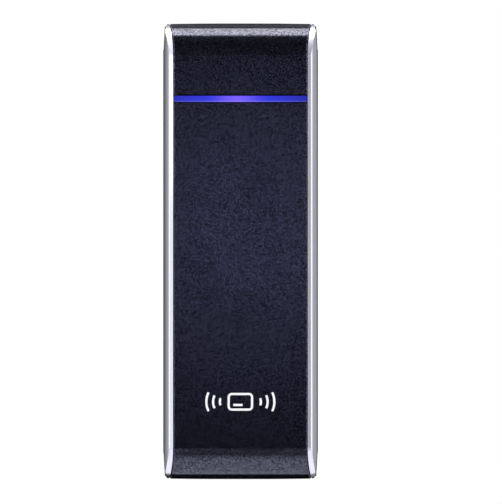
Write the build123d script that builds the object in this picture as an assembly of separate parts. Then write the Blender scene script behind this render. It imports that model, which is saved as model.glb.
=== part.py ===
from build123d import *
import os
from math import atan, cos, degrees, radians, sin, tan

# Wall-mounted proximity card reader, in millimetres.
# X is the width, Y is the depth and Z is up. The wall is the plane Y = 0 and the reader faces -Y.
# The origin is the centre of the bracket's back face, which is also the centre of the front face.

# Overall size
HEIGHT = 130.0
WIDTH = 44.4
DEPTH = 25.0
HALF_H = HEIGHT / 2
HALF_W = WIDTH / 2
FRONT = -DEPTH

# Outer shape
ROLL_RADIUS = 9.5        # the front face rolls back over the top and bottom ends
CROWN = 0.32             # the two ends bow outward, middle over corner
CORNER_RADIUS = 0.5      # corners of the front outline
LAND_HALF = 57.8         # the raised land on each side of the case ends at this height
LAND_STEP = 0.08         # height of that land
END_TAPER = 0.40         # each side narrows by this much from the land to the end
TRIM_INSET = 0.47        # the trims stand inside the case sides by this much
EDGE_ROUND = 0.3         # softened edges of the cover

# Seam between the cover and a trim: half-width at the front, part way back and along the side
SEAM = 0.22              # width of the open seam
SEAM_FRONT = 18.8
SEAM_MID = 19.48
SEAM_MID_DEPTH = 3.1
SEAM_SIDE = 20.2

# Section of the side trims
FACET_W = 0.9            # narrow facet beside the seam
FACET_TILT = 6.0         # degrees, falling outward
SHOULDER_DEPTH = 4.5     # depth over which the trim turns to its outer side
TRIM_SIDE = HALF_W - LAND_STEP - TRIM_INSET
TRIM_TAPER = 0.6         # each trim's outer side leans in by this much toward its ends
SHOULDER_AXIS = 8.0      # the shoulder rolls about an axis this far behind the roll's own

# Tabs that hold each trim in windows of the cover's side
TRIM_TABS = (-40.0, 0.0, 36.0)
TAB_Y = -13.5
TAB_THICK = 1.2
TAB_H = 5.0
TAB_INNER = 18.0
TAB_OUTER = 20.9
TAB_GAP = 0.1

# Depths of the shells, measured as Y
SPLIT = -10.0            # cover meets case
RIM_BACK = -0.5          # the case's rim stops just short of the wall
CASE_BACK = -3.4         # the case's back wall, outside
WALL = 1.8               # wall thickness of cover and case
CASE_WALL = 2.0          # thickness of the case's back wall
CASE_INSIDE = CASE_BACK - CASE_WALL

# Light bar
BAR_Z = 43.05
BAR_HEIGHT = 1.7
BAR_GAP = 0.38           # dark gap above and below the bar
BAR_RECESS = 0.08        # the bar stands this far behind the face
BAR_FLANGE = 4.6         # height of the flange behind the cover's wall
BAR_FLANGE_HALF = 16.4
BAR_FLANGE_THICK = 1.0
BAR_LEG_HALF = 15.0      # the leg that carries the light, half its length
BAR_LEG_THICK = 1.6
BAR_LEG_BACK = -15.0
REFLECTOR_HALF = 16.0
REFLECTOR_H = 5.2
REFLECTOR_CHAMBER_H = 3.4

# Cover bosses, one for each case screw
BOSS_R = 2.6
BOSS_PILOT_R = 0.9
BOSS_PILOT_END = -19.0

# Seal between cover and case
GASKET_THICK = 0.6
GASKET_OUTER_INSET = 0.45
GASKET_INNER_INSET = 1.35

# Main board
BOARD_REAR = -12.0
BOARD_THICK = 1.6
BOARD_FRONT = BOARD_REAR - BOARD_THICK
BOARD_W = 33.0
BOARD_H = 104.0
BOARD_SCREW_X = 13.6
BOARD_SCREW_Z = 48.0
BOARD_HOLE_R = 1.15
BOARD_POST_R = 2.3
BOARD_PILOT_R = 0.8
CASE_SCREW_X = 14.2
CASE_SCREW_Z = 57.0
CASE_SCREW_R = 0.9
CASE_HOLE_R = 1.15
CASE_HEAD_HOLE_R = 2.2
CASE_HEAD_DEPTH = 0.9
SCREW_HEAD_TOP_R = 1.9   # heads of the board and case screws

# Antenna board, behind the front face and below the light bar
ANTENNA_Z = 6.0
ANTENNA_W = 31.0
ANTENNA_H = 56.0
ANTENNA_THICK = 0.8
ANTENNA_FRONT = -22.8
ANTENNA_REAR = ANTENNA_FRONT + ANTENNA_THICK
COIL_TURNS = 5
COIL_TRACK = 0.7
COIL_PITCH = 1.3
COIL_THICK = 0.1
COIL_MARGIN = 4.2
STAKE_X = 14.0
STAKE_Z = 26.4
STAKE_R = 0.75
STAKE_PAD_R = 1.6
STAKE_HEAD_R = 1.3
STAKE_HEAD_H = 0.5
ANTENNA_HOLE_R = 0.8
FERRITE_HALF_W = 12.0
FERRITE_LOW = -19.0
FERRITE_HIGH = 27.0
FERRITE_THICK = 0.3

# Connectors
PIN = 0.64               # square pins
ANTENNA_PIN_Z = ANTENNA_Z + 24.5
ANTENNA_PIN_X = (-3.81, -1.27, 1.27, 3.81)
HEADERS = ((1.0, 9.5, 7), (-2.5, -3.0, 5))     # X, Z and number of ways
HEADER_PITCH = 2.5
HEADER_BACK = -4.6
HEADER_H = 5.8
HEADER_WALL = 0.8
HEADER_FLOOR = 1.6
HEADER_END = 1.2         # length beyond half a pitch past the last pin
KEY_W = 1.6              # keying slots in the header's lower wall
KEY_IN = 3.2

# Cable bay in the back of the case
BAY_W = 24.0
BAY_H = 36.0
BAY_Z = -2.0
BAY_WALL = 1.2
SEAL_THICK = 0.4         # foam between the bay's frame and the board

# Rating label
LABEL_X = 3.0
LABEL_Z = -38.0
LABEL_W = 16.0
LABEL_H = 14.0
LABEL_THICK = 0.1

# Wall bracket
SHEET = 1.2
BRACKET_W = 38.0
BRACKET_TOP = 61.0
BRACKET_BOTTOM = -57.0
BRACKET_CORNER = 4.0
BRACKET_GAP = 0.6        # room between the bracket and the case's rim
FLANGE_DEPTH = 3.3       # the bent side flanges stop just short of the case's back wall
FLANGE_END = 8.0         # the flanges end this far from the plate's ends
WINDOW_W = 26.0
WINDOW_H = 40.0
GANG_SPACING = 83.3      # single-gang wall box
ROUND_BOX_SPACING = 60.0 # round wall box
CORNER_SPACING_X = 26.0
CORNER_SPACING_Z = 104.0
CORNER_Z = 2.0
WALL_HOLE_R = 2.1
GANG_SLOT = 8.0          # end-to-end length of the gang-box slots
BEAD_X = 15.4
BEAD_W = 2.4
BEAD_H = 44.0
BEAD_DEPTH = 0.5

# Hooks on the bracket and their slots in the case
LIFT = 5.5               # travel that frees the reader from its hooks
HOOK_X = 10.0
HOOK_Z = 30.0            # top of the hook's horizontal leg
HOOK_W = 7.0
HOOK_RISE = 5.0
HOOK_OUT = CASE_INSIDE - 0.3 - SHEET
SLOT_SIDE_GAP = 0.5
POCKET_WALL = 1.0

# Locking screw, driven upward through the bracket's tongue
TONGUE_W = 12.0
TONGUE_TOP = -60.4
TONGUE_OUT = -9.0
LOCK_Y = -5.8
SCREW_R = 1.5
SCREW_HEAD_R = 2.6
SCREW_HEAD_H = 1.9
SCREW_SHANK = 6.6
WASHER_THICK = 0.5
WASHER_R = 2.8
INSERT_R = 2.1
INSERT_H = 5.0
LOCK_BOSS_HALF = 4.2
LOCK_CEILING = TONGUE_TOP + 0.3      # roof of the notch that takes the tongue
NOTCH_GAP = 0.5
NOTCH_WALL = 1.4
SCREW_SEAT = TONGUE_TOP - SHEET - WASHER_THICK

# Tamper plunger
TAMPER_X = -11.0
TAMPER_Z = -37.0
TAMPER_R = 1.5
TAMPER_OUT = 1.5         # travel when the wall no longer holds the plunger in
TAMPER_IN = 0.3          # travel left before the switch bottoms
TAMPER_TIP = -0.05
TAMPER_COLLAR_BACK = CASE_INSIDE - TAMPER_OUT - 0.05
TAMPER_COLLAR_FRONT = TAMPER_COLLAR_BACK - 0.8
TAMPER_COLLAR_R = 3.0
TAMPER_NOSE = -9.0
TAMPER_NOSE_R = 1.2
TAMPER_SWITCH_TOP = -10.2
SPRING_WIRE_R = 0.2
SPRING_R = 2.2
SPRING_TURNS = 3

# Reset button, inside the cable bay
RESET_X = 8.2
RESET_Z = -15.0
RESET_R = 1.7
RESET_TRAVEL = 0.25
RESET_WELL = 1.6         # floor of the button's well above the board
RESET_BODY = 3.4         # height of the reset switch body above the board
RESET_TOP = 2.0          # height of its button above the body
SWITCH_W = 6.0

CLEAR = 0.05             # running clearance of small sliding parts


# ---------------------------------------------------------------- helpers

def box_between(x0, x1, y0, y1, z0, z1):
    """Box with the given limits."""
    centre = Pos((x0 + x1) / 2, (y0 + y1) / 2, (z0 + z1) / 2)
    return centre * Box(abs(x1 - x0), abs(y1 - y0), abs(z1 - z0))


def along_y(sketch, back, front):
    """Prism of an XZ sketch from depth back to the nearer depth front."""
    return extrude(Plane.XZ.offset(-back) * sketch, back - front)


def along_x(sketch, left, right):
    """Prism of a YZ sketch from X = left to X = right."""
    return extrude(Plane.YZ.offset(left) * sketch, right - left)


def along_z(sketch, low, high):
    """Prism of an XY sketch from Z = low to Z = high."""
    return extrude(Plane.XY.offset(low) * sketch, high - low)


def peg(x, z, back, front, radius):
    """Cylinder lying along Y."""
    return along_y(Pos(x, z) * Circle(radius), back, front)


def post(x, y, low, high, radius):
    """Cylinder standing along Z."""
    return along_z(Pos(x, y) * Circle(radius), low, high)


def four_corners(x, z, centre_z=0.0):
    """The four points at +-x, centre_z +- z."""
    return [(sx * x, centre_z + sz * z) for sx in (-1, 1) for sz in (-1, 1)]


def save(name, shapes):
    """Write one sub-part, every solid of it, to its STEP file."""
    if not isinstance(shapes, list):
        shapes = [shapes]
    solids = [solid for shape in shapes for solid in shape.solids()]
    export_step(Compound(children=solids), f"parts/{name}.step")


# ---------------------------------------------------------------- outer shape

def outline(half_width, inset=0.0, taper=END_TAPER):
    """Front outline: straight sides, ends that narrow a little, crowned top and bottom."""
    w = half_width - inset
    end_w = w - taper
    top = HALF_H - inset
    shoulder = top - CROWN
    edges = [
        Line((w, -LAND_HALF), (w, LAND_HALF)),
        Line((w, LAND_HALF), (end_w, shoulder)),
        ThreePointArc((end_w, shoulder), (0, top), (-end_w, shoulder)),
        Line((-end_w, shoulder), (-w, LAND_HALF)),
        Line((-w, LAND_HALF), (-w, -LAND_HALF)),
        Line((-w, -LAND_HALF), (-end_w, -shoulder)),
        ThreePointArc((-end_w, -shoulder), (0, -top), (end_w, -shoulder)),
        Line((end_w, -shoulder), (w, -LAND_HALF)),
    ]
    sketch = make_face(edges)
    corners = [v for v in sketch.vertices() if abs(v.Y) > LAND_HALF + 1]
    return fillet(corners, max(CORNER_RADIUS - inset, 0.3))


def side_profile(inset, back):
    """YZ profile: flat front, rolled over to the two ends."""
    front = FRONT + inset
    top = HALF_H - inset
    radius = ROLL_RADIUS - inset
    turn = HALF_H - ROLL_RADIUS
    axis = FRONT + ROLL_RADIUS
    mid = radius * sin(radians(45))
    edges = [
        Line((front, -turn), (front, turn)),
        ThreePointArc((front, turn), (axis - mid, turn + mid), (axis, top)),
        Line((axis, top), (back, top)),
        Line((back, top), (back, -top)),
        Line((back, -top), (axis, -top)),
        ThreePointArc((axis, -top), (axis - mid, -turn - mid), (front, -turn)),
    ]
    return make_face(edges)


def seam_points(shift):
    """Half-section of the seam between cover and trim, moved outward by shift."""
    return (
        (SEAM_FRONT + shift, FRONT),
        (SEAM_MID + shift, FRONT + SEAM_MID_DEPTH),
        (SEAM_SIDE + shift, FRONT + ROLL_RADIUS),
    )


def cover_section(inset, back):
    """XY section of the space between the trims, inset from the seam."""
    front, mid, side = seam_points(-inset)
    edges = [
        Line((-front[0], FRONT), front),
        ThreePointArc(front, mid, side),
        Line(side, (side[0], back)),
        Line((side[0], back), (-side[0], back)),
        Line((-side[0], back), (-side[0], side[1])),
        ThreePointArc((-side[0], side[1]), (-mid[0], mid[1]), (-front[0], front[1])),
    ]
    return make_face(edges)


def cover_block(inset, back):
    """Solid between the trims: front face, rolled ends and the hidden side faces."""
    block = along_x(side_profile(inset, back), -HALF_W, HALF_W)
    block = block & along_z(cover_section(inset, back), -HALF_H, HALF_H)
    return block & along_y(outline(HALF_W, inset), 0, FRONT)


# ---------------------------------------------------------------- front cover

def front_cover():
    """Moulded front shell with the light bar slot, screw bosses and antenna stakes."""
    outer = cover_block(0.0, SPLIT)
    front_edges = [e for e in outer.edges()
                   if e.center().Y < FRONT + ROLL_RADIUS - 1 and abs(e.center().X) > SEAM_FRONT - 1]
    outer = fillet(front_edges, EDGE_ROUND)
    shell = outer - cover_block(WALL, SPLIT + 1)
    boss_back = CASE_INSIDE - 0.1
    for x, z in four_corners(CASE_SCREW_X, CASE_SCREW_Z):
        boss = peg(x, z, boss_back, FRONT + WALL / 2, BOSS_R)
        root = boss & cover_block(WALL / 2, SPLIT)
        shell = shell + root + peg(x, z, boss_back, SPLIT - 1, BOSS_R)
        shell = shell - peg(x, z, CASE_INSIDE, BOSS_PILOT_END, BOSS_PILOT_R)
    for x, z in four_corners(STAKE_X, STAKE_Z, ANTENNA_Z):
        pad = peg(x, z, ANTENNA_FRONT, FRONT + WALL, STAKE_PAD_R)
        stem = peg(x, z, ANTENNA_REAR, FRONT + WALL, STAKE_R)
        head = peg(x, z, ANTENNA_REAR + STAKE_HEAD_H, ANTENNA_REAR, STAKE_HEAD_R)
        shell = shell + pad + stem + head
    slot = BAR_HEIGHT / 2 + BAR_GAP
    shell = shell - box_between(-HALF_W, HALF_W, FRONT - 1, FRONT + WALL, BAR_Z - slot, BAR_Z + slot)
    half = TAB_H / 2 + TAB_GAP
    for z in TRIM_TABS:
        for side in (-1, 1):
            window = box_between(side * (TAB_INNER - 1), side * (SEAM_SIDE + 1),
                                 TAB_Y - TAB_GAP, TAB_Y + TAB_THICK + TAB_GAP, z - half, z + half)
            shell = shell - window
    return shell - gasket_ring(0.0)


def light_bar():
    """Diffuser: the visible rib, a retaining flange behind the wall and a leg to the lamps."""
    def plate(half, back, front, height):
        return box_between(-half, half, back, front, BAR_Z - height / 2, BAR_Z + height / 2)

    back = FRONT + WALL
    rib = plate(SEAM_FRONT - 0.1, back, FRONT + BAR_RECESS, BAR_HEIGHT)
    flange = plate(BAR_FLANGE_HALF, back + BAR_FLANGE_THICK, back, BAR_FLANGE)
    leg = plate(BAR_LEG_HALF, BAR_LEG_BACK, back + BAR_FLANGE_THICK / 2, BAR_LEG_THICK)
    return rib + flange + leg


def light_reflector():
    """White channel around the leg of the light bar."""
    inside = BAR_LEG_HALF + 0.1

    def channel(half, front, height):
        return box_between(-half, half, BOARD_FRONT, front, BAR_Z - height / 2, BAR_Z + height / 2)

    block = channel(REFLECTOR_HALF, FRONT + WALL + BAR_FLANGE_THICK, REFLECTOR_H)
    chamber = channel(inside, BAR_LEG_BACK, REFLECTOR_CHAMBER_H)
    slot = channel(inside, FRONT, BAR_LEG_THICK + 0.2)
    return block - chamber - slot


# ---------------------------------------------------------------- side trims

def facet_line():
    """The facet's inner and outer point in the XY section."""
    inner = (SEAM_FRONT + SEAM, FRONT)
    return inner, (inner[0] + FACET_W, FRONT + FACET_W * tan(radians(FACET_TILT)))


def trim_shoulder():
    """Quarter ellipse that leaves the facet along its slope and ends upright at the outer side."""
    facet = facet_line()[1]
    rough_width = TRIM_SIDE - facet[0]
    start = atan(tan(radians(FACET_TILT)) * rough_width / SHOULDER_DEPTH)
    width = rough_width / (1 - sin(start))
    centre = (TRIM_SIDE - width, facet[1] + SHOULDER_DEPTH * cos(start))
    turned = degrees(start)
    return EllipticalCenterArc(centre, width, SHOULDER_DEPTH, turned - 90, arc_size=90 - turned)


def trim_section(shaped):
    """XY section of the right trim, with its front outer corner shaped or still square."""
    front, mid, side = seam_points(SEAM)
    facet = facet_line()[1]
    shoulder = trim_shoulder()
    edges = [
        ThreePointArc(front, mid, side),
        Line(side, (side[0], SPLIT)),
        Line((side[0], SPLIT), (TRIM_SIDE, SPLIT)),
    ]
    if shaped:
        edges += [Line((TRIM_SIDE, SPLIT), shoulder @ 1), shoulder, Line(facet, front)]
    else:
        edges += [Line((TRIM_SIDE, SPLIT), (TRIM_SIDE, FRONT)), Line((TRIM_SIDE, FRONT), front)]
    return make_face(edges)


def ahead_of_facet():
    """XY section of the space ahead of the facet's plane."""
    inner, outer = facet_line()
    slope = tan(radians(FACET_TILT))
    near = SEAM_FRONT - 1
    far = TRIM_SIDE + 1
    corners = [
        (near, FRONT + (near - inner[0]) * slope),
        (far, FRONT + (far - inner[0]) * slope),
        (far, FRONT - 1),
        (near, FRONT - 1),
    ]
    return make_face(Polyline(*corners, close=True))


def beyond_shoulder():
    """XY section of the space outside the shoulder."""
    shoulder = trim_shoulder()
    start = shoulder @ 0
    stop = shoulder @ 1
    far = TRIM_SIDE + 1
    edges = [
        shoulder,
        Line(stop, (far, stop.Y)),
        Line((far, stop.Y), (far, FRONT - 1)),
        Line((far, FRONT - 1), (start.X, FRONT - 1)),
        Line((start.X, FRONT - 1), start),
    ]
    return make_face(edges)


def side_trim_right():
    """Bright trim rail: facet and shoulder follow the roll at both ends, and three tabs hold it."""
    turn = HALF_H - ROLL_RADIUS
    axis_y = FRONT + ROLL_RADIUS

    def rolled(section, y):
        return revolve(Pos(0, 0, turn) * section, Axis((0, y, turn), (-1, 0, 0)), 90)

    facet_space = ahead_of_facet()
    flat_end = Rotation(-90, 0, 0) * Pos(0, -axis_y, 0) * facet_space
    flat_end = Pos(0, axis_y, turn) * extrude(flat_end, SPLIT - axis_y + 1, dir=(0, 1, 0))
    end = along_z(trim_section(shaped=False), turn, HALF_H)
    end = end & along_x(side_profile(0.0, SPLIT), 0, HALF_W)
    end = end & along_y(outline(TRIM_SIDE, taper=TRIM_TAPER), 0, FRONT)
    end = end - rolled(facet_space, axis_y) - flat_end
    end = end - rolled(beyond_shoulder(), axis_y + SHOULDER_AXIS)
    rail = along_z(trim_section(shaped=True), -turn, turn) + end + mirror(end, Plane.XY)
    for z in TRIM_TABS:
        rail = rail + box_between(TAB_INNER, TAB_OUTER, TAB_Y, TAB_Y + TAB_THICK,
                                  z - TAB_H / 2, z + TAB_H / 2)
    return rail


# ---------------------------------------------------------------- rear case

def case_cavity():
    """Space inside the case, open toward the cover."""
    half = SEAM_SIDE - WALL
    space = box_between(-half, half, CASE_INSIDE, SPLIT - 1, -HALF_H + WALL, HALF_H - WALL)
    return space & along_y(outline(HALF_W - LAND_STEP, WALL), 0, FRONT)


def hook_slot_limits():
    """Lowest and highest Z of a hook slot with the reader at rest."""
    top = HOOK_Z + 0.1
    return top - (LIFT + SHEET + 0.6), top


def bay_block(margin, back, front):
    """Block the size of the cable bay, grown sideways by margin."""
    half_w = BAY_W / 2 + margin
    half_h = BAY_H / 2 + margin
    return box_between(-half_w, half_w, back, front, BAY_Z - half_h, BAY_Z + half_h)


def rear_case():
    """Back shell: side walls, rim around the bracket, hook pockets, cable bay and screw posts."""
    shell = along_y(outline(HALF_W - LAND_STEP), RIM_BACK, SPLIT)
    shell = shell + box_between(-HALF_W, HALF_W, RIM_BACK, SPLIT, -LAND_HALF, LAND_HALF)
    tray_half = BRACKET_W / 2 + BRACKET_GAP
    tray = box_between(-tray_half, tray_half, 1, CASE_BACK, -HALF_H + WALL, HALF_H - WALL)
    shell = shell - tray - case_cavity()

    slot_low, slot_high = hook_slot_limits()
    pocket_front = HOOK_OUT - 0.3
    pocket_top = HOOK_Z + HOOK_RISE + 0.5
    half = HOOK_W / 2 + SLOT_SIDE_GAP
    thick = POCKET_WALL
    for x in (-HOOK_X, HOOK_X):
        shell = shell + box_between(x - half - thick, x + half + thick, CASE_BACK, pocket_front - thick,
                                    slot_low - thick, pocket_top + thick)
        shell = shell - box_between(x - half, x + half, CASE_INSIDE, pocket_front, slot_low, pocket_top)
        shell = shell - box_between(x - half, x + half, 0, pocket_front, slot_low, slot_high)

    shell = shell + bay_block(BAY_WALL, CASE_INSIDE, BOARD_REAR + SEAL_THICK)
    shell = shell - bay_block(0, 0, BOARD_REAR)

    for x, z in four_corners(BOARD_SCREW_X, BOARD_SCREW_Z):
        shell = shell + peg(x, z, CASE_BACK - 0.5, BOARD_REAR, BOARD_POST_R)
        shell = shell - peg(x, z, CASE_INSIDE, BOARD_REAR, BOARD_PILOT_R)
    for x, z in four_corners(CASE_SCREW_X, CASE_SCREW_Z):
        shell = shell - peg(x, z, 0, CASE_BACK - CASE_HEAD_DEPTH, CASE_HEAD_HOLE_R)
        shell = shell - peg(x, z, 0, SPLIT, CASE_HOLE_R)
    shell = shell - peg(TAMPER_X, TAMPER_Z, 0, SPLIT, TAMPER_R + CLEAR)

    notch_half = TONGUE_W / 2 + NOTCH_GAP
    notch_wall = notch_half + NOTCH_WALL
    notch = box_between(-notch_wall, notch_wall, CASE_BACK, SPLIT, -HALF_H, LOCK_CEILING + BAY_WALL)
    boss = box_between(-LOCK_BOSS_HALF, LOCK_BOSS_HALF, CASE_BACK + 1.2, SPLIT + 0.6,
                       LOCK_CEILING, LOCK_CEILING + INSERT_H + 1)
    shell = shell + (notch & along_y(outline(HALF_W - LAND_STEP), 0, FRONT)) + boss
    shell = shell - box_between(-notch_half, notch_half, 1, TONGUE_OUT - 0.2, -HALF_H - 1, LOCK_CEILING)
    return shell - post(0, LOCK_Y, LOCK_CEILING - 1, LOCK_CEILING + INSERT_H, INSERT_R)


def gasket_ring(shrink):
    """Ring in the rear face of the cover's wall, pressed by the case."""
    outer = cover_block(GASKET_OUTER_INSET + shrink, 0)
    inner = cover_block(GASKET_INNER_INSET - shrink, 0)
    slab = box_between(-HALF_W, HALF_W, SPLIT, SPLIT - GASKET_THICK, -HALF_H, HALF_H)
    return (outer - inner) & slab


# ---------------------------------------------------------------- electronics

def main_board():
    """Circuit board on the posts of the case."""
    board = along_y(RectangleRounded(BOARD_W, BOARD_H, 1.5), BOARD_REAR, BOARD_FRONT)
    for x, z in four_corners(BOARD_SCREW_X, BOARD_SCREW_Z):
        board = board - peg(x, z, BOARD_REAR, BOARD_FRONT, BOARD_HOLE_R)
    return board


def chip(x, z, width, height, thick, side):
    """Component on the front (side -1) or the rear (side +1) of the main board."""
    start = BOARD_FRONT if side < 0 else BOARD_REAR
    return box_between(x - width / 2, x + width / 2, start, start + side * thick,
                       z - height / 2, z + height / 2)


def status_lamps():
    """Row of surface-mounted lamps facing the leg of the light bar."""
    return [chip(-12 + 6 * i, BAR_Z, 2.8, 1.4, 0.9, -1) for i in range(5)]


def passives():
    """Small capacitors, coils and regulators on the front of the board."""
    row = [chip(-12 + 3.0 * i, -8, 1.0, 1.8, 0.8, -1) for i in range(9)]
    column = [chip(12.5, -20 - 3.2 * i, 2.0, 1.2, 1.0, -1) for i in range(6)]
    coil = chip(-10, -34, 5.0, 5.0, 2.6, -1)
    regulator = chip(-3, -34, 3.0, 3.0, 1.1, -1)
    transceiver = chip(10, 14, 3.2, 5.0, 1.2, -1)
    return row + column + [coil, regulator, transceiver]


def buzzer():
    """Round sounder with its port toward the front."""
    can = peg(2, -42, BOARD_FRONT, BOARD_FRONT - 4.0, 4.5)
    return can - peg(2, -42, BOARD_FRONT - 3.0, BOARD_FRONT - 4.0, 1.0)


def antenna_board():
    """Thin board that carries the printed loop."""
    board = along_y(Pos(0, ANTENNA_Z) * RectangleRounded(ANTENNA_W, ANTENNA_H, 1.5),
                    ANTENNA_REAR, ANTENNA_FRONT)
    for x, z in four_corners(STAKE_X, STAKE_Z, ANTENNA_Z):
        board = board - peg(x, z, ANTENNA_REAR, ANTENNA_FRONT, ANTENNA_HOLE_R)
    return board


def antenna_coil():
    """Square spiral of copper track on the front of the antenna board."""
    half_w, half_h = ANTENNA_W / 2 - COIL_MARGIN, ANTENNA_H / 2 - COIL_MARGIN
    half_track = COIL_TRACK / 2
    points = []
    for turn in range(COIL_TURNS):
        w, h = half_w - turn * COIL_PITCH, half_h - turn * COIL_PITCH
        points += [(-w, -h), (w, -h), (w, h), (-w, h), (-w, -h + COIL_PITCH)]
    track = None
    for start, end in zip(points, points[1:]):
        left, right = sorted((start[0], end[0]))
        low, high = sorted((start[1], end[1]))
        piece = box_between(left - half_track, right + half_track,
                            ANTENNA_FRONT, ANTENNA_FRONT - COIL_THICK,
                            ANTENNA_Z + low - half_track, ANTENNA_Z + high + half_track)
        track = piece if track is None else track + piece
    return track


def ferrite_sheet():
    """Magnetic shield on the rear of the antenna board."""
    return box_between(-FERRITE_HALF_W, FERRITE_HALF_W, ANTENNA_REAR + FERRITE_THICK, ANTENNA_REAR,
                       FERRITE_LOW, FERRITE_HIGH)


def square_pin(x, z, back, front):
    """Square pin lying along Y."""
    return box_between(x - PIN / 2, x + PIN / 2, back, front, z - PIN / 2, z + PIN / 2)


def antenna_header():
    """Insulator of the pin header between the two boards."""
    body = chip(0, ANTENNA_PIN_Z, 10.4, 2.5, 2.5, -1)
    for x in ANTENNA_PIN_X:
        body = body - square_pin(x, ANTENNA_PIN_Z, BOARD_FRONT, ANTENNA_REAR)
    return body


def antenna_pins():
    """Four square pins from the main board to the rear of the antenna board."""
    return [square_pin(x, ANTENNA_PIN_Z, BOARD_FRONT, ANTENNA_REAR) for x in ANTENNA_PIN_X]


def header_shell(x, z, ways):
    """Open wire-to-board header, keyed on its lower wall."""
    half = ways * HEADER_PITCH / 2 + HEADER_END
    half_h = HEADER_H / 2
    well, well_h = half - HEADER_WALL, half_h - HEADER_WALL
    body = box_between(x - half, x + half, BOARD_REAR, HEADER_BACK, z - half_h, z + half_h)
    body = body - box_between(x - well, x + well, BOARD_REAR + HEADER_FLOOR, 0, z - well_h, z + well_h)
    for side in (-1, 1):
        key_x = x + side * (half - KEY_IN)
        body = body - box_between(key_x - KEY_W / 2, key_x + KEY_W / 2, BOARD_REAR + HEADER_FLOOR + 1, 0,
                                  z - half_h - 0.6, z - well_h + 0.1)
    for pin_x in pin_positions(x, ways):
        body = body - square_pin(pin_x, z, 0, BOARD_REAR)
    return body


def pin_positions(x, ways):
    """X of each pin of a header."""
    return [x + (i - (ways - 1) / 2) * HEADER_PITCH for i in range(ways)]


def header_pins():
    """Pins of both headers, standing on the board."""
    pins = []
    for x, z, ways in HEADERS:
        for pin_x in pin_positions(x, ways):
            pins.append(square_pin(pin_x, z, HEADER_BACK - 1.4, BOARD_REAR))
    return pins


# ---------------------------------------------------------------- switches

def reset_switch():
    """Body of the reset switch, with the well in which its button moves."""
    body = chip(RESET_X, RESET_Z, SWITCH_W, SWITCH_W, RESET_BODY, 1)
    return body - peg(RESET_X, RESET_Z, 0, BOARD_REAR + RESET_WELL, RESET_R + CLEAR)


def reset_button():
    """Round button of the reset switch."""
    back = BOARD_REAR + RESET_BODY + RESET_TOP
    return peg(RESET_X, RESET_Z, back, BOARD_REAR + RESET_WELL + RESET_TRAVEL + CLEAR, RESET_R)


def tamper_switch():
    """Detector switch under the tamper plunger."""
    body = chip(TAMPER_X, TAMPER_Z, SWITCH_W, SWITCH_W, TAMPER_SWITCH_TOP - BOARD_REAR, 1)
    return body + peg(TAMPER_X, TAMPER_Z, TAMPER_NOSE - TAMPER_IN - CLEAR, TAMPER_SWITCH_TOP, 0.8)


def tamper_plunger():
    """Plunger with a collar: its domed end touches the wall."""
    shaft = peg(TAMPER_X, TAMPER_Z, TAMPER_TIP, TAMPER_COLLAR_FRONT, TAMPER_R)
    shaft = fillet(shaft.edges().sort_by(Axis.Y)[-1], 0.6)
    collar = peg(TAMPER_X, TAMPER_Z, TAMPER_COLLAR_BACK, TAMPER_COLLAR_FRONT, TAMPER_COLLAR_R)
    nose = peg(TAMPER_X, TAMPER_Z, TAMPER_COLLAR_FRONT, TAMPER_NOSE, TAMPER_NOSE_R)
    return shaft + collar + nose


def tamper_spring():
    """Compression spring between the switch body and the collar."""
    low = TAMPER_SWITCH_TOP + SPRING_WIRE_R + 0.02
    high = TAMPER_COLLAR_FRONT - SPRING_WIRE_R - 0.02
    height = high - low
    path = Helix(pitch=height / SPRING_TURNS, height=height, radius=SPRING_R)
    path = Pos(TAMPER_X, high, TAMPER_Z) * (Rot(90, 0, 0) * path)
    profile = Plane(origin=path @ 0, z_dir=path % 0) * Circle(SPRING_WIRE_R)
    return sweep(profile, path=path, is_frenet=True)


# ---------------------------------------------------------------- lock and fasteners

def lock_insert():
    """Brass insert that the locking screw enters."""
    top = LOCK_CEILING + INSERT_H
    body = post(0, LOCK_Y, LOCK_CEILING, top, INSERT_R)
    return body - post(0, LOCK_Y, LOCK_CEILING, top, SCREW_R + CLEAR)


def lock_screw():
    """Locking screw with a six-lobe socket and a centre pin."""
    head = post(0, LOCK_Y, SCREW_SEAT - SCREW_HEAD_H, SCREW_SEAT, SCREW_HEAD_R)
    head = fillet(head.edges().sort_by(Axis.Z)[0], 0.6)
    lobes = Circle(1.0)
    for i in range(6):
        lobes = lobes + Rot(0, 0, 60 * i) * Pos(0.95, 0) * Circle(0.32)
    socket = along_z(Pos(0, LOCK_Y) * lobes, SCREW_SEAT - SCREW_HEAD_H - 1, SCREW_SEAT - 0.7)
    pin = post(0, LOCK_Y, SCREW_SEAT - SCREW_HEAD_H + 0.2, SCREW_SEAT - 0.6, 0.4)
    shank = post(0, LOCK_Y, SCREW_SEAT - 0.1, SCREW_SEAT + SCREW_SHANK, SCREW_R)
    shank = chamfer(shank.edges().sort_by(Axis.Z)[-1], 0.4)
    return head - socket + pin + shank


def lock_washer():
    """Captive washer under the head."""
    ring = post(0, LOCK_Y, SCREW_SEAT, SCREW_SEAT + WASHER_THICK, WASHER_R)
    return ring - post(0, LOCK_Y, SCREW_SEAT, SCREW_SEAT + WASHER_THICK, SCREW_R + CLEAR)


def small_screw(x, z, seat, toward, length, shank_r, head_h):
    """Pan-head screw along Y with a cross recess. The head stands on seat, away from toward."""
    far = seat - toward * head_h
    head = peg(x, z, max(seat, far), min(seat, far), SCREW_HEAD_TOP_R)
    head = fillet([e for e in head.edges() if abs(e.center().Y - far) < 0.01], 0.3)
    tip = seat + toward * length
    shank = peg(x, z, max(seat, tip), min(seat, tip), shank_r)
    recess = head_h * 0.6
    inner = far + toward * recess
    for w, h in ((0.35, 1.2), (1.2, 0.35)):
        head = head - box_between(x - w, x + w, far, inner, z - h, z + h)
    return head + shank


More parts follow.
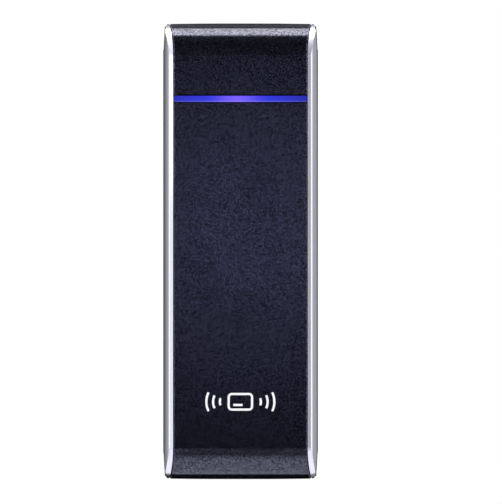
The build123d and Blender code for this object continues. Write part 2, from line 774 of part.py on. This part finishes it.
def board_screws():
    """Screws that hold the main board on the case's posts."""
    return [small_screw(x, z, BOARD_FRONT, 1, 6.5, BOARD_PILOT_R, 1.3)
            for x, z in four_corners(BOARD_SCREW_X, BOARD_SCREW_Z)]


def case_screws():
    """Screws that hold the case to the cover's bosses."""
    return [small_screw(x, z, CASE_BACK - CASE_HEAD_DEPTH, -1, 7.5, CASE_SCREW_R, 0.8)
            for x, z in four_corners(CASE_SCREW_X, CASE_SCREW_Z)]


# ---------------------------------------------------------------- bracket and label

def hook(x):
    """Sheet hook: out from the plate, then up behind the case's back wall."""
    low = HOOK_Z - SHEET
    side = [
        (-0.2, low), (HOOK_OUT, low), (HOOK_OUT, HOOK_Z + HOOK_RISE),
        (HOOK_OUT + SHEET, HOOK_Z + HOOK_RISE), (HOOK_OUT + SHEET, HOOK_Z), (-0.2, HOOK_Z),
    ]
    leg = along_x(make_face(Polyline(*side, close=True)), x - HOOK_W / 2, x + HOOK_W / 2)
    outer = [e for e in leg.edges() if abs(e.center().Y - HOOK_OUT) < 0.01
             and abs(e.center().Z - low) < 0.01]
    return fillet(outer, SHEET * 0.9)


def slot_hole(x, z, width, height):
    """Upright slot through the bracket plate."""
    return along_y(Pos(x, z) * Rot(0, 0, 90) * SlotOverall(height, width), 1, -SHEET - 1)


def bead(x, back, front, width):
    """Upright stiffening bead beside the cable window."""
    return along_y(Pos(x, 0) * Rot(0, 0, 90) * SlotOverall(BEAD_H, width), back, front)


def wall_bracket():
    """Pressed steel bracket: plate, bent side flanges, two hooks and the locking tongue."""
    centre = (BRACKET_TOP + BRACKET_BOTTOM) / 2
    height = BRACKET_TOP - BRACKET_BOTTOM
    plate = along_y(Pos(0, centre) * RectangleRounded(BRACKET_W, height, BRACKET_CORNER), 0, -SHEET)
    side = BRACKET_W / 2
    for x in (-side, side):
        inner = x - SHEET if x > 0 else x + SHEET
        plate = plate + box_between(x, inner, 0, -FLANGE_DEPTH,
                                    BRACKET_BOTTOM + FLANGE_END, BRACKET_TOP - FLANGE_END)
    long_edges = [e for e in plate.edges().filter_by(Axis.Z)
                  if abs(abs(e.center().X) - side) < 0.01 and abs(e.center().Y) < 0.01]
    plate = fillet(long_edges, 0.8)

    tongue = box_between(-TONGUE_W / 2, TONGUE_W / 2, 0, -SHEET, TONGUE_TOP - SHEET, BRACKET_BOTTOM + 4)
    shelf = box_between(-TONGUE_W / 2, TONGUE_W / 2, 0, TONGUE_OUT, TONGUE_TOP - SHEET, TONGUE_TOP)
    shelf = fillet(shelf.edges().filter_by(Axis.Z).group_by(Axis.Y)[0], 2.0)
    bent = tongue + shelf
    bend = [e for e in bent.edges().filter_by(Axis.X)
            if abs(e.center().Y) < 0.01 and abs(e.center().Z - TONGUE_TOP + SHEET) < 0.01]
    plate = plate + fillet(bend, 1.0)
    plate = plate - post(0, LOCK_Y, TONGUE_TOP - SHEET, TONGUE_TOP, SCREW_R + 0.2)

    window = along_y(RectangleRounded(WINDOW_W, WINDOW_H, 3), 1, -SHEET - 1)
    plate = plate - window
    for x in (-HOOK_X, HOOK_X):
        relief = box_between(x - HOOK_W / 2 - 0.6, x + HOOK_W / 2 + 0.6, 1, -SHEET - 1,
                             HOOK_Z - SHEET, HOOK_Z + 8)
        plate = plate - relief + hook(x)
    for x, z in four_corners(CORNER_SPACING_X / 2, CORNER_SPACING_Z / 2, CORNER_Z):
        plate = plate - peg(x, z, 1, -SHEET - 1, WALL_HOLE_R)
    for sign in (-1, 1):
        plate = plate - peg(0, sign * ROUND_BOX_SPACING / 2, 1, -SHEET - 1, WALL_HOLE_R)
        plate = plate - slot_hole(0, sign * GANG_SPACING / 2, 2 * WALL_HOLE_R, GANG_SLOT)
        plate = plate + bead(sign * BEAD_X, -SHEET, -SHEET - BEAD_DEPTH, BEAD_W)
        plate = plate - bead(sign * BEAD_X, 0, -BEAD_DEPTH, BEAD_W - 0.6)
    tamper_slot_h = LIFT + 2 * TAMPER_R + 1.6
    return plate - slot_hole(TAMPER_X, TAMPER_Z + LIFT / 2, 2 * TAMPER_R + 1.2, tamper_slot_h)


def rating_label():
    """Blank label on the back of the case."""
    sheet = Pos(LABEL_X, LABEL_Z) * RectangleRounded(LABEL_W, LABEL_H, 0.8)
    return along_y(sheet, CASE_BACK + LABEL_THICK, CASE_BACK)


def bay_seal():
    """Foam strip between the cable bay's frame and the board."""
    back = BOARD_REAR + SEAL_THICK
    return bay_block(BAY_WALL, back, BOARD_REAR) - bay_block(0, back, BOARD_REAR)


# ---------------------------------------------------------------- write the parts

os.makedirs("parts", exist_ok=True)

trim = side_trim_right()
parts = {
    "front_cover": front_cover(),
    "light_bar": light_bar(),
    "light_reflector": light_reflector(),
    "side_trim_right": trim,
    "side_trim_left": mirror(trim, Plane.YZ),
    "rear_case": rear_case(),
    "case_gasket": gasket_ring(0.02),
    "main_board": main_board(),
    "status_lamps": status_lamps(),
    "processor_chip": chip(-4, -20, 9, 9, 1.4, -1),
    "radio_chip": chip(3, 22, 6, 6, 1.0, -1),
    "board_passives": passives(),
    "buzzer": buzzer(),
    "antenna_board": antenna_board(),
    "antenna_coil": antenna_coil(),
    "ferrite_sheet": ferrite_sheet(),
    "antenna_header": antenna_header(),
    "antenna_pins": antenna_pins(),
    "wire_headers": [header_shell(*place) for place in HEADERS],
    "header_pins": header_pins(),
    "reset_switch": reset_switch(),
    "reset_button": reset_button(),
    "tamper_switch": tamper_switch(),
    "tamper_plunger": tamper_plunger(),
    "tamper_spring": tamper_spring(),
    "lock_insert": lock_insert(),
    "lock_screw": lock_screw(),
    "lock_washer": lock_washer(),
    "board_screws": board_screws(),
    "case_screws": case_screws(),
    "wall_bracket": wall_bracket(),
    "rating_label": rating_label(),
    "bay_seal": bay_seal(),
}
for name, shape in parts.items():
    save(name, shape)
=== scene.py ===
"""Looks, lights and camera for the wall-mounted card reader."""
import math

import bmesh
import bpy
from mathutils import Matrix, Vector


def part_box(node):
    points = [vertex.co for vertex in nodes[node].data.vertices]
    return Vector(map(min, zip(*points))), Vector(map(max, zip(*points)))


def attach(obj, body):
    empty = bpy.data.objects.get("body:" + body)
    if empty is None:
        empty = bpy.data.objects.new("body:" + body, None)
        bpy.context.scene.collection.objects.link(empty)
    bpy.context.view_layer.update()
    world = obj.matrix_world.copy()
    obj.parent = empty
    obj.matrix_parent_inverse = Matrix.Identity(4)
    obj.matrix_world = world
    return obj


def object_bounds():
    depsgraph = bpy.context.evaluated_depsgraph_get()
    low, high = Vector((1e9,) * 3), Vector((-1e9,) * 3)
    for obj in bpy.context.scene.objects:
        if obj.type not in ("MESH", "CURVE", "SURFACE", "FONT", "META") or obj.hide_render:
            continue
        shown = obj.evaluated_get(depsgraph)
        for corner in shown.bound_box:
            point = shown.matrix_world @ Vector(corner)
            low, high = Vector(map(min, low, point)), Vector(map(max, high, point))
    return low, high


MM = 0.001

# Camera
CAMERA_DISTANCE = 0.90
VIEW_HEIGHT = 143.85 * MM    # height seen in the plane that lies VIEW_PLANE behind the front face
VIEW_PLANE = 9.5 * MM
CAMERA_RIGHT = 3.0 * MM      # the camera stands this far right of the reader's middle
CAMERA_DOWN = 0.2 * MM

# Floor
FLOOR_DROP = 0.22            # below the reader's lower end
FLOOR_HALF = 0.7
FLOOR_Y = -0.625

# Strip lamp
STRIP_PLACE = (-0.050, -0.160, 0.045)
STRIP_TARGET = (0, -0.025, 0.045)
STRIP_WIDTH = 0.01
STRIP_HEIGHT = 0.04
STRIP_RADIANCE = 4.0

# Printed pictogram
MARK_Z = -42.5 * MM
MARK_STROKE = 0.62 * MM
MARK_LIFT = 0.02 * MM        # the print stands this far in front of the face
CARD_WIDTH = 6.6 * MM
CARD_HEIGHT = 4.4 * MM
CARD_CORNER = 0.9 * MM
CARD_LINE_Z = -0.9 * MM
CARD_LINE_START = -2.0 * MM
CARD_LINE_END = 0.6 * MM
WAVE_CENTRE = 3.6 * MM
WAVE_RADII = (2.2 * MM, 4.1 * MM, 6.0 * MM)
WAVE_HALF_ANGLE = 26
WAVE_STEPS = 24
CORNER_STEPS = 8

# Strengths of the studio panels, and the soft pool of light behind the camera
LEFT_PANEL = 1.5
RIGHT_PANEL = 1.4
NEAR_PANEL = 0.28
FILL = 0.006
POOL = 2.5
POOL_RADIUS = 2.5            # degrees
POOL_RISE = 0.5

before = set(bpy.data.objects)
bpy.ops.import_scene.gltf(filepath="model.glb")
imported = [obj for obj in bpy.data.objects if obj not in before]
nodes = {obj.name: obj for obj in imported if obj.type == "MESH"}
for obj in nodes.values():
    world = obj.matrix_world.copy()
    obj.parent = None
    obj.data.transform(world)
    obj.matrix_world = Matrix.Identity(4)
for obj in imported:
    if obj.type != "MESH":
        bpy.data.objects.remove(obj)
cad_low, cad_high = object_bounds()


# ------------------------------------------------------------------ node helpers

class Nodes:
    """A node tree under construction: each method adds one node and returns its output."""

    def __init__(self, tree):
        self.tree = tree

    def node(self, kind, inputs=None, **settings):
        made = self.tree.nodes.new(kind)
        for key, value in settings.items():
            setattr(made, key, value)
        for key, value in (inputs or {}).items():
            self.feed(made.inputs[key], value)
        return made

    def feed(self, socket, value):
        if isinstance(value, bpy.types.NodeSocket):
            self.tree.links.new(value, socket)
        else:
            socket.default_value = value

    def math(self, operation, a, b=0.0, c=0.0):
        made = self.node("ShaderNodeMath", operation=operation)
        for socket, value in zip(made.inputs, (a, b, c)):
            self.feed(socket, value)
        return made.outputs[0]

    def product(self, *factors):
        result = factors[0]
        for factor in factors[1:]:
            result = self.math("MULTIPLY", result, factor)
        return result

    def total(self, *terms):
        result = terms[0]
        for term in terms[1:]:
            result = self.math("ADD", result, term)
        return result

    def remap(self, value, low, high, to_low=0.0, to_high=1.0, smooth=False):
        """Value taken from low..high to to_low..to_high, clamped."""
        inputs = {"Value": value, "From Min": low, "From Max": high, "To Min": to_low, "To Max": to_high}
        kind = "SMOOTHSTEP" if smooth else "LINEAR"
        return self.node("ShaderNodeMapRange", inputs, interpolation_type=kind).outputs[0]

    def band(self, value, low, high, soft):
        """1 between low and high, falling smoothly to 0 over soft on both sides."""
        rise = self.remap(value, low - soft, low + soft, smooth=True)
        fall = self.remap(value, high - soft, high + soft, 1.0, 0.0, smooth=True)
        return self.product(rise, fall)


class Look(Nodes):
    """A material under construction."""

    def __init__(self, name):
        self.material = bpy.data.materials.new(name)
        self.material.use_nodes = True
        super().__init__(self.material.node_tree)
        self.bsdf = self.tree.nodes["Principled BSDF"]
        self.surface = self.tree.nodes["Material Output"].inputs["Surface"]

    def set(self, **values):
        """Set inputs of the Principled shader by name, with _ for a space."""
        for key, value in values.items():
            self.feed(self.bsdf.inputs[key.replace("_", " ")], value)

    def place(self):
        """Position in the row frame, in metres."""
        return self.node("ShaderNodeTexCoord").outputs["Object"]

    def stretched(self, x, y, z):
        """Position with each axis scaled, for patterns that run one way."""
        return self.node("ShaderNodeMapping", {"Vector": self.place(), "Scale": (x, y, z)}).outputs["Vector"]

    def noise(self, size, detail=2.0, rough=0.5, place=None):
        """Noise whose features are about size metres across."""
        made = self.node("ShaderNodeTexNoise", {
            "Vector": place or self.place(), "Scale": 1.0 / size, "Detail": detail, "Roughness": rough})
        return made.outputs["Fac"]

    def cells(self, size, randomness=1.0, place=None, output="Distance"):
        """Distance to, or colour of, scattered cells about size metres across."""
        made = self.node("ShaderNodeTexVoronoi", {
            "Vector": place or self.place(), "Scale": 1.0 / size, "Randomness": randomness})
        return made.outputs[output]

    def mix(self, fac, a, b):
        """Mix of two colours."""
        made = self.node("ShaderNodeMix", data_type="RGBA")
        for index, value in ((0, fac), (6, a), (7, b)):
            self.feed(made.inputs[index], value)
        return made.outputs[2]

    def axis(self, name):
        """One coordinate of the position in the row frame."""
        return self.node("ShaderNodeSeparateXYZ", {"Vector": self.place()}).outputs[name]

    def bump(self, height, depth, normal=None):
        """Normal disturbed by a height pattern of the given depth in metres."""
        inputs = {"Height": height, "Distance": depth, "Strength": 1.0}
        if normal is not None:
            inputs["Normal"] = normal
        return self.node("ShaderNodeBump", inputs).outputs["Normal"]

    def soft_edges(self, radius):
        """Normal that rounds sharp edges by radius, as moulding or deburring leaves them."""
        return self.node("ShaderNodeBevel", {"Radius": radius}, samples=4).outputs["Normal"]


def rgb(r, g, b):
    return (r, g, b, 1.0)


# ------------------------------------------------------------------ materials

def grained_black():
    """Spark-eroded black plastic of the front cover, with a fine blue-black grain."""
    look = Look("grained_black")
    speck = look.remap(look.cells(0.23 * MM, output="Color"), 0.25, 0.75)
    dents = look.cells(0.29 * MM, place=look.stretched(1.0, -1.0, 1.0))
    smudge = look.noise(22 * MM, detail=3.0)
    look.set(
        Base_Color=look.mix(speck, rgb(0.0, 0.0, 0.0010), rgb(0.0055, 0.0055, 0.0105)),
        Roughness=look.remap(smudge, 0.3, 0.7, 0.120, 0.140),
        IOR=1.85,
        Specular_IOR_Level=look.remap(speck, 0.0, 1.0, 0.10, 0.90),
        Specular_Tint=rgb(0.72, 0.73, 1.0),
        Normal=look.bump(dents, 0.004 * MM),
    )
    return look.material


def matt_black():
    """Finer matt black of the rear case."""
    look = Look("matt_black")
    grain = look.noise(0.22 * MM, detail=3.0, rough=0.6)
    cloud = look.noise(15 * MM, detail=2.0)
    look.set(
        Base_Color=look.mix(cloud, rgb(0.012, 0.012, 0.017), rgb(0.017, 0.017, 0.023)),
        Roughness=look.remap(cloud, 0.3, 0.7, 0.45, 0.55),
        Normal=look.bump(grain, 0.01 * MM, normal=look.soft_edges(0.03 * MM)),
    )
    return look.material


def satin_silver():
    """Silver-plated trim with a fine satin finish."""
    look = Look("satin_silver")
    flake = look.noise(0.12 * MM, detail=2.0)
    haze = look.noise(9 * MM, detail=3.0)
    look.set(
        Base_Color=rgb(0.80, 0.80, 0.845),
        Metallic=1.0,
        Roughness=look.remap(haze, 0.3, 0.7, 0.17, 0.22),
        Normal=look.bump(flake, 0.0012 * MM),
    )
    return look.material


def glowing_bar():
    """Lit diffuser: violet in the middle, blue toward both ends, with a painted highlight along its lower
    edge: a paler line in the glow that stands in for light reflected off the bar's lower bevel.
    """
    look = Look("glowing_bar")
    along = look.math("ADD", look.axis("X"), 1 * MM)
    across = look.math("ABSOLUTE", along)
    middle = look.remap(across, 0.0, 9 * MM, 1.0, 0.0, smooth=True)
    hue = look.mix(middle, rgb(0.030, 0.038, 0.72), rgb(0.19, 0.115, 1.0))
    end = look.remap(across, 8 * MM, 19 * MM, 1.0, 0.60)
    low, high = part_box("light_bar")
    low_z = (low.z + high.z) / 2 - 0.85 * MM
    # Painted highlight: mask of a thin strip along the lower edge of the glow, standing in for light
    # reflected off the bar's lower bevel.
    painted_edge_highlight = look.remap(look.axis("Z"), low_z + 0.05 * MM, low_z + 0.55 * MM, 1.0, 0.0)
    face = look.remap(look.axis("Y"), low.y + 0.15 * MM, low.y + 0.45 * MM, 1.0, 0.02)
    grain = look.noise(0.5 * MM, detail=2.0)
    look.set(
        Base_Color=rgb(0.004, 0.004, 0.03),
        Roughness=0.25,
        Specular_IOR_Level=0.2,
        # The glow is paled toward white along the lower edge: a painted highlight, not part of the lamp's
        # own light.
        Emission_Color=look.mix(look.product(painted_edge_highlight, 0.16), hue, rgb(0.5, 0.5, 1.0)),
        Emission_Strength=look.product(end, face, look.remap(grain, 0.3, 0.7, 0.94, 1.04)),
    )
    return look.material


def plain_plastic(name, low, high, rough=0.45, grain=0.2, depth=0.006, subsurface=0.0):
    """Moulded plastic or rubber between two close colours."""
    look = Look(name)
    cloud = look.noise(6 * MM, detail=3.0)
    texture = look.noise(grain * MM, detail=2.0)
    look.set(
        Base_Color=look.mix(cloud, rgb(*low), rgb(*high)),
        Roughness=look.remap(cloud, 0.3, 0.7, rough - 0.05, rough + 0.06),
        Normal=look.bump(texture, depth * MM, normal=look.soft_edges(0.1 * MM)),
        Subsurface_Weight=subsurface,
        Subsurface_Scale=0.5 * MM,
    )
    return look.material


def metal(name, low, high, rough=0.3, stretch=(1.0, 1.0, 1.0), depth=0.004, radius=0.12):
    """Worked metal: stretched grain, patches of shade and softened edges."""
    look = Look(name)
    lines = look.noise(0.25 * MM, detail=3.0, place=look.stretched(*stretch))
    patch = look.noise(7 * MM, detail=4.0)
    look.set(
        Base_Color=look.mix(patch, rgb(*low), rgb(*high)),
        Metallic=1.0,
        Roughness=look.remap(patch, 0.3, 0.7, rough - 0.05, rough + 0.08),
        Normal=look.bump(lines, depth * MM, normal=look.soft_edges(radius * MM)),
    )
    return look.material


def circuit_board():
    """Green solder mask with raised tracks."""
    look = Look("circuit_board")
    cells = look.cells(2.6 * MM, randomness=0.0, output="Color")
    run = look.node("ShaderNodeSeparateColor", {"Color": cells}).outputs[0]
    stripes = look.math("PINGPONG", look.math("MULTIPLY", look.axis("X"), 1.0 / (0.55 * MM)), 1.0)
    stripes_z = look.math("PINGPONG", look.math("MULTIPLY", look.axis("Z"), 1.0 / (0.55 * MM)), 1.0)
    chosen = look.node("ShaderNodeMix", {0: look.math("GREATER_THAN", run, 0.5), 2: stripes, 3: stripes_z})
    track = look.remap(chosen.outputs[0], 0.45, 0.55)
    look.set(
        Base_Color=look.mix(track, rgb(0.006, 0.055, 0.026), rgb(0.012, 0.105, 0.045)),
        Roughness=0.3,
        Coat_Weight=0.4,
        Coat_Roughness=0.15,
        Normal=look.bump(track, 0.02 * MM),
    )
    return look.material


def assign(material, *names):
    """Give CAD nodes this material."""
    for name in names:
        for slot in nodes[name].material_slots:
            slot.material = material


def dress_cad_nodes():
    assign(grained_black(), "front_cover")
    assign(matt_black(), "rear_case")
    assign(satin_silver(), "side_trim_left", "side_trim_right")
    assign(glowing_bar(), "light_bar")
    assign(circuit_board(), "main_board", "antenna_board")
    assign(plain_plastic("chip_resin", (0.012, 0.012, 0.013), (0.025, 0.025, 0.026), 0.5),
           "processor_chip", "radio_chip", "board_passives", "buzzer", "antenna_header",
           "reset_switch", "tamper_switch")
    assign(plain_plastic("button_red", (0.30, 0.02, 0.015), (0.40, 0.03, 0.02), 0.4), "reset_button")
    assign(plain_plastic("seal_rubber", (0.012, 0.012, 0.012), (0.02, 0.02, 0.02), 0.75), "case_gasket")
    assign(plain_plastic("seal_foam", (0.05, 0.05, 0.05), (0.10, 0.10, 0.10), 0.9, 0.5, 0.06), "bay_seal")
    assign(plain_plastic("white_plastic", (0.72, 0.72, 0.70), (0.80, 0.80, 0.78), 0.5), "light_reflector")
    assign(plain_plastic("ivory_nylon", (0.66, 0.60, 0.46), (0.74, 0.68, 0.54), 0.42, subsurface=0.15),
           "wire_headers")
    assign(plain_plastic("acetal", (0.70, 0.70, 0.67), (0.78, 0.78, 0.75), 0.35, subsurface=0.1),
           "tamper_plunger", "lock_washer")
    assign(plain_plastic("lamp_lens", (0.8, 0.78, 0.5), (0.85, 0.83, 0.6), 0.25), "status_lamps")
    assign(plain_plastic("ferrite", (0.05, 0.045, 0.045), (0.08, 0.07, 0.07), 0.6), "ferrite_sheet")
    assign(plain_plastic("label_foil", (0.50, 0.50, 0.51), (0.58, 0.58, 0.59), 0.35), "rating_label")
    assign(metal("zinc_steel", (0.50, 0.51, 0.53), (0.66, 0.66, 0.66), 0.32, (1.0, 1.0, 0.08), 0.006, 0.2),
           "wall_bracket")
    assign(metal("stainless", (0.55, 0.55, 0.56), (0.68, 0.68, 0.69), 0.22), "lock_screw", "board_screws")
    assign(metal("black_oxide", (0.03, 0.03, 0.035), (0.06, 0.06, 0.065), 0.35), "case_screws")
    assign(metal("spring_wire", (0.5, 0.5, 0.5), (0.62, 0.62, 0.62), 0.25), "tamper_spring")
    assign(metal("tinned", (0.72, 0.72, 0.70), (0.80, 0.80, 0.78), 0.25), "header_pins", "antenna_pins")
    assign(metal("brass", (0.60, 0.43, 0.16), (0.72, 0.54, 0.24), 0.28), "lock_insert")
    assign(metal("copper", (0.62, 0.30, 0.16), (0.74, 0.40, 0.24), 0.35), "antenna_coil")


# ------------------------------------------------------------------ printed pictogram

def printed_mark():
    """White pad print low on the front: a blank card between two sets of radio arcs."""
    mesh = bmesh.new()
    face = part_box("front_cover")[0].y - MARK_LIFT

    def ribbon(points, closed=False):
        """Flat stroke of even width along points in the XZ plane."""
        count = len(points)
        rails = []
        for index, point in enumerate(points):
            before = points[(index - 1) % count] if closed or index else point
            after = points[(index + 1) % count] if closed or index < count - 1 else point
            run = (after - before).normalized()
            side = Vector((-run.y, run.x)) * MARK_STROKE / 2
            rails.append([mesh.verts.new((p.x, face, MARK_Z + p.y)) for p in (point + side, point - side)])
        pairs = list(zip(rails, rails[1:] + rails[:1] if closed else rails[1:]))
        for (a, b), (c, d) in pairs:
            mesh.faces.new((a, b, d, c))

    def arc(centre_x, radius, start, stop):
        turns = [start + (stop - start) * step / WAVE_STEPS for step in range(WAVE_STEPS + 1)]
        angles = [math.radians(turn) for turn in turns]
        return [Vector((centre_x + radius * math.cos(t), radius * math.sin(t))) for t in angles]

    def rounded_card(width, height, corner):
        points = []
        for sx, sy, start in ((1, 1, 0), (-1, 1, 90), (-1, -1, 180), (1, -1, 270)):
            for step in range(CORNER_STEPS + 1):
                t = math.radians(start + step * 90 / CORNER_STEPS)
                points.append(Vector((sx * (width / 2 - corner) + corner * math.cos(t),
                                      sy * (height / 2 - corner) + corner * math.sin(t))))
        return points

    ribbon(rounded_card(CARD_WIDTH, CARD_HEIGHT, CARD_CORNER), closed=True)
    ribbon([Vector((CARD_LINE_START, CARD_LINE_Z)), Vector((CARD_LINE_END, CARD_LINE_Z))])
    for side in (0, 180):
        sign = 1 if side == 0 else -1
        for radius in WAVE_RADII:
            ribbon(arc(sign * WAVE_CENTRE, radius, side - WAVE_HALF_ANGLE, side + WAVE_HALF_ANGLE))
    data = bpy.data.meshes.new("printed_mark")
    bmesh.ops.recalc_face_normals(mesh, faces=mesh.faces)
    mesh.to_mesh(data)
    mesh.free()
    piece = bpy.data.objects.new("printed_mark", data)
    bpy.context.scene.collection.objects.link(piece)
    piece.data.materials.append(plain_plastic("white_ink", (0.94, 0.94, 0.94), (0.98, 0.98, 0.98), 0.40))
    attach(piece, "reader")


# ------------------------------------------------------------------ stage

def studio_light():
    """Plain white for the camera; large soft panels all round for everything else.

    turn is the bearing of a ray, 0 toward the camera and positive to its right. rise is its height
    above the horizon. pitch goes from 0 at the camera over 90 straight up to 180 at the wall.
    """
    world = bpy.data.worlds.new("studio")
    bpy.context.scene.world = world
    world.use_nodes = True
    look = Nodes(world.node_tree)
    ray = look.node("ShaderNodeTexCoord").outputs["Generated"]
    x, y, z = look.node("ShaderNodeSeparateXYZ", {"Vector": ray}).outputs
    back = look.math("MULTIPLY", y, -1.0)
    turn = look.math("DEGREES", look.math("ARCTAN2", x, back))
    rise = look.math("DEGREES", look.math("ARCSINE", z))
    pitch = look.math("DEGREES", look.math("ARCTAN2", z, back))

    tall = look.band(rise, -60, 80, 8)
    dimmed = look.product(tall, look.remap(rise, -14, -6, 0.55, 1.0))
    left = look.product(look.band(turn, -50, -11, 5), dimmed, LEFT_PANEL)
    left_side = look.product(look.band(turn, -170, -50, 5), tall, look.remap(turn, -180, -50, 0.06, 0.66))
    right = look.product(look.band(turn, 17, 62, 5), dimmed, RIGHT_PANEL)
    right_near = look.product(look.band(turn, 7, 17, 5), tall, NEAR_PANEL)
    right_side = look.product(look.band(turn, 62, 172, 5), tall, look.remap(turn, 66, 115, 0.74, 0.42))
    off_front = look.math("ABSOLUTE", turn)
    behind = look.product(look.band(off_front, 100, 190, 2.5), look.band(rise, 32, 62, 8),
                          look.remap(off_front, 165, 180, 0.8, 0.25))
    veil = look.product(look.band(turn, -9, 6, 3), look.band(rise, 6, 60, 3),
                        look.remap(rise, 5, 40, 0.07, 0.0))
    panels = look.total(left, left_side, right, right_near, right_side, behind, veil, FILL)
    overhead = look.product(look.band(pitch, 77.5, 113, 4.0), look.band(x, -0.8, 0.8, 0.1),
                            look.remap(pitch, 82, 112, 5.8, 3.6))
    aside = look.math("POWER", turn, 2.0)
    above = look.math("POWER", look.math("SUBTRACT", rise, POOL_RISE), 2.0)
    off_axis = look.math("SQRT", look.total(aside, above))
    pool = look.remap(off_axis, 0.0, POOL_RADIUS, 1.0, 0.0)

    def layer(strength, color):
        return look.node("ShaderNodeBackground", {"Color": rgb(*color), "Strength": strength}).outputs[0]

    def both(first, second):
        return look.node("ShaderNodeAddShader", {0: first, 1: second}).outputs[0]

    seen = both(both(layer(panels, (0.93, 0.94, 1.0)), layer(overhead, (1.0, 1.0, 0.92))),
                layer(look.product(pool, POOL), (0.70, 0.70, 1.0)))
    mix = look.node("ShaderNodeMixShader", {
        "Fac": look.node("ShaderNodeLightPath").outputs["Is Camera Ray"],
        1: seen, 2: layer(1.0, (1, 1, 1))})
    look.feed(world.node_tree.nodes["World Output"].inputs["Surface"], mix.outputs[0])


def softbox(name, place, target, width, height, radiance, color):
    """Rectangular studio light with the given radiance, unseen by the camera."""
    light = bpy.data.lights.new(name, "AREA")
    light.shape = "RECTANGLE"
    light.size = width
    light.size_y = height
    light.energy = radiance * math.pi * width * height
    light.color = color
    lamp = bpy.data.objects.new(name, light)
    lamp.location = place
    lamp.rotation_mode = "QUATERNION"
    lamp.rotation_quaternion = (Vector(target) - Vector(place)).to_track_quat("-Z", "Y")
    lamp.visible_camera = False
    bpy.context.scene.collection.objects.link(lamp)


def lights():
    """One narrow strip beside the reader's left edge, which lifts that edge of the front face."""
    softbox("left_strip", STRIP_PLACE, STRIP_TARGET, STRIP_WIDTH, STRIP_HEIGHT, STRIP_RADIANCE,
            (0.72, 0.72, 1.0))


def floor():
    """Pale floor well below the reader: plain white to the camera, matt to everything else, with painted
    shade: a dark strip on the floor in front of the reader, which its rounded lower end reflects.
    """
    data = bpy.data.meshes.new("floor")
    mesh = bmesh.new()
    bmesh.ops.create_grid(mesh, x_segments=1, y_segments=1, size=FLOOR_HALF)
    mesh.to_mesh(data)
    mesh.free()
    plane = bpy.data.objects.new("floor", data)
    plane.location = (0, FLOOR_Y, cad_low.z - FLOOR_DROP)
    bpy.context.scene.collection.objects.link(plane)
    look = Look("pale_floor")
    # Painted shade: a dark strip on the floor in front of the reader, along its middle, put there for the
    # reader's rounded lower end to reflect as a dark band.
    near = look.remap(look.axis("Y"), 0.10, 0.46, 1.0, 0.0, smooth=True)
    middle = look.remap(look.math("ABSOLUTE", look.axis("X")), 0.03, 0.10, 1.0, 0.0, smooth=True)
    painted_shade_strip = look.product(near, middle)
    look.set(Base_Color=look.mix(painted_shade_strip, rgb(0.53, 0.53, 0.59), rgb(0.05, 0.05, 0.06)), Roughness=0.8)
    white = look.node("ShaderNodeEmission", {"Color": rgb(1, 1, 1), "Strength": 1.0})
    path = look.node("ShaderNodeLightPath")
    mix = look.node("ShaderNodeMixShader", {
        "Fac": path.outputs["Is Camera Ray"], 1: look.bsdf.outputs[0], 2: white.outputs[0]})
    look.tree.links.new(mix.outputs[0], look.surface)
    plane.data.materials.append(look.material)


def camera():
    """Square on, from far away, with the reader a little left of the middle."""
    data = bpy.data.cameras.new("camera")
    data.lens = data.sensor_width * CAMERA_DISTANCE / VIEW_HEIGHT
    data.clip_start = 0.01
    data.clip_end = 20.0
    place = bpy.data.objects.new("camera", data)
    middle = (cad_low + cad_high) / 2
    place.location = (middle.x + CAMERA_RIGHT, cad_low.y + VIEW_PLANE - CAMERA_DISTANCE,
                      middle.z - CAMERA_DOWN)
    place.rotation_euler = (math.radians(90), 0, 0)
    bpy.context.scene.collection.objects.link(place)
    bpy.context.scene.camera = place


dress_cad_nodes()
printed_mark()
studio_light()
lights()
floor()
camera()
bpy.context.scene.view_settings.view_transform = "Standard"
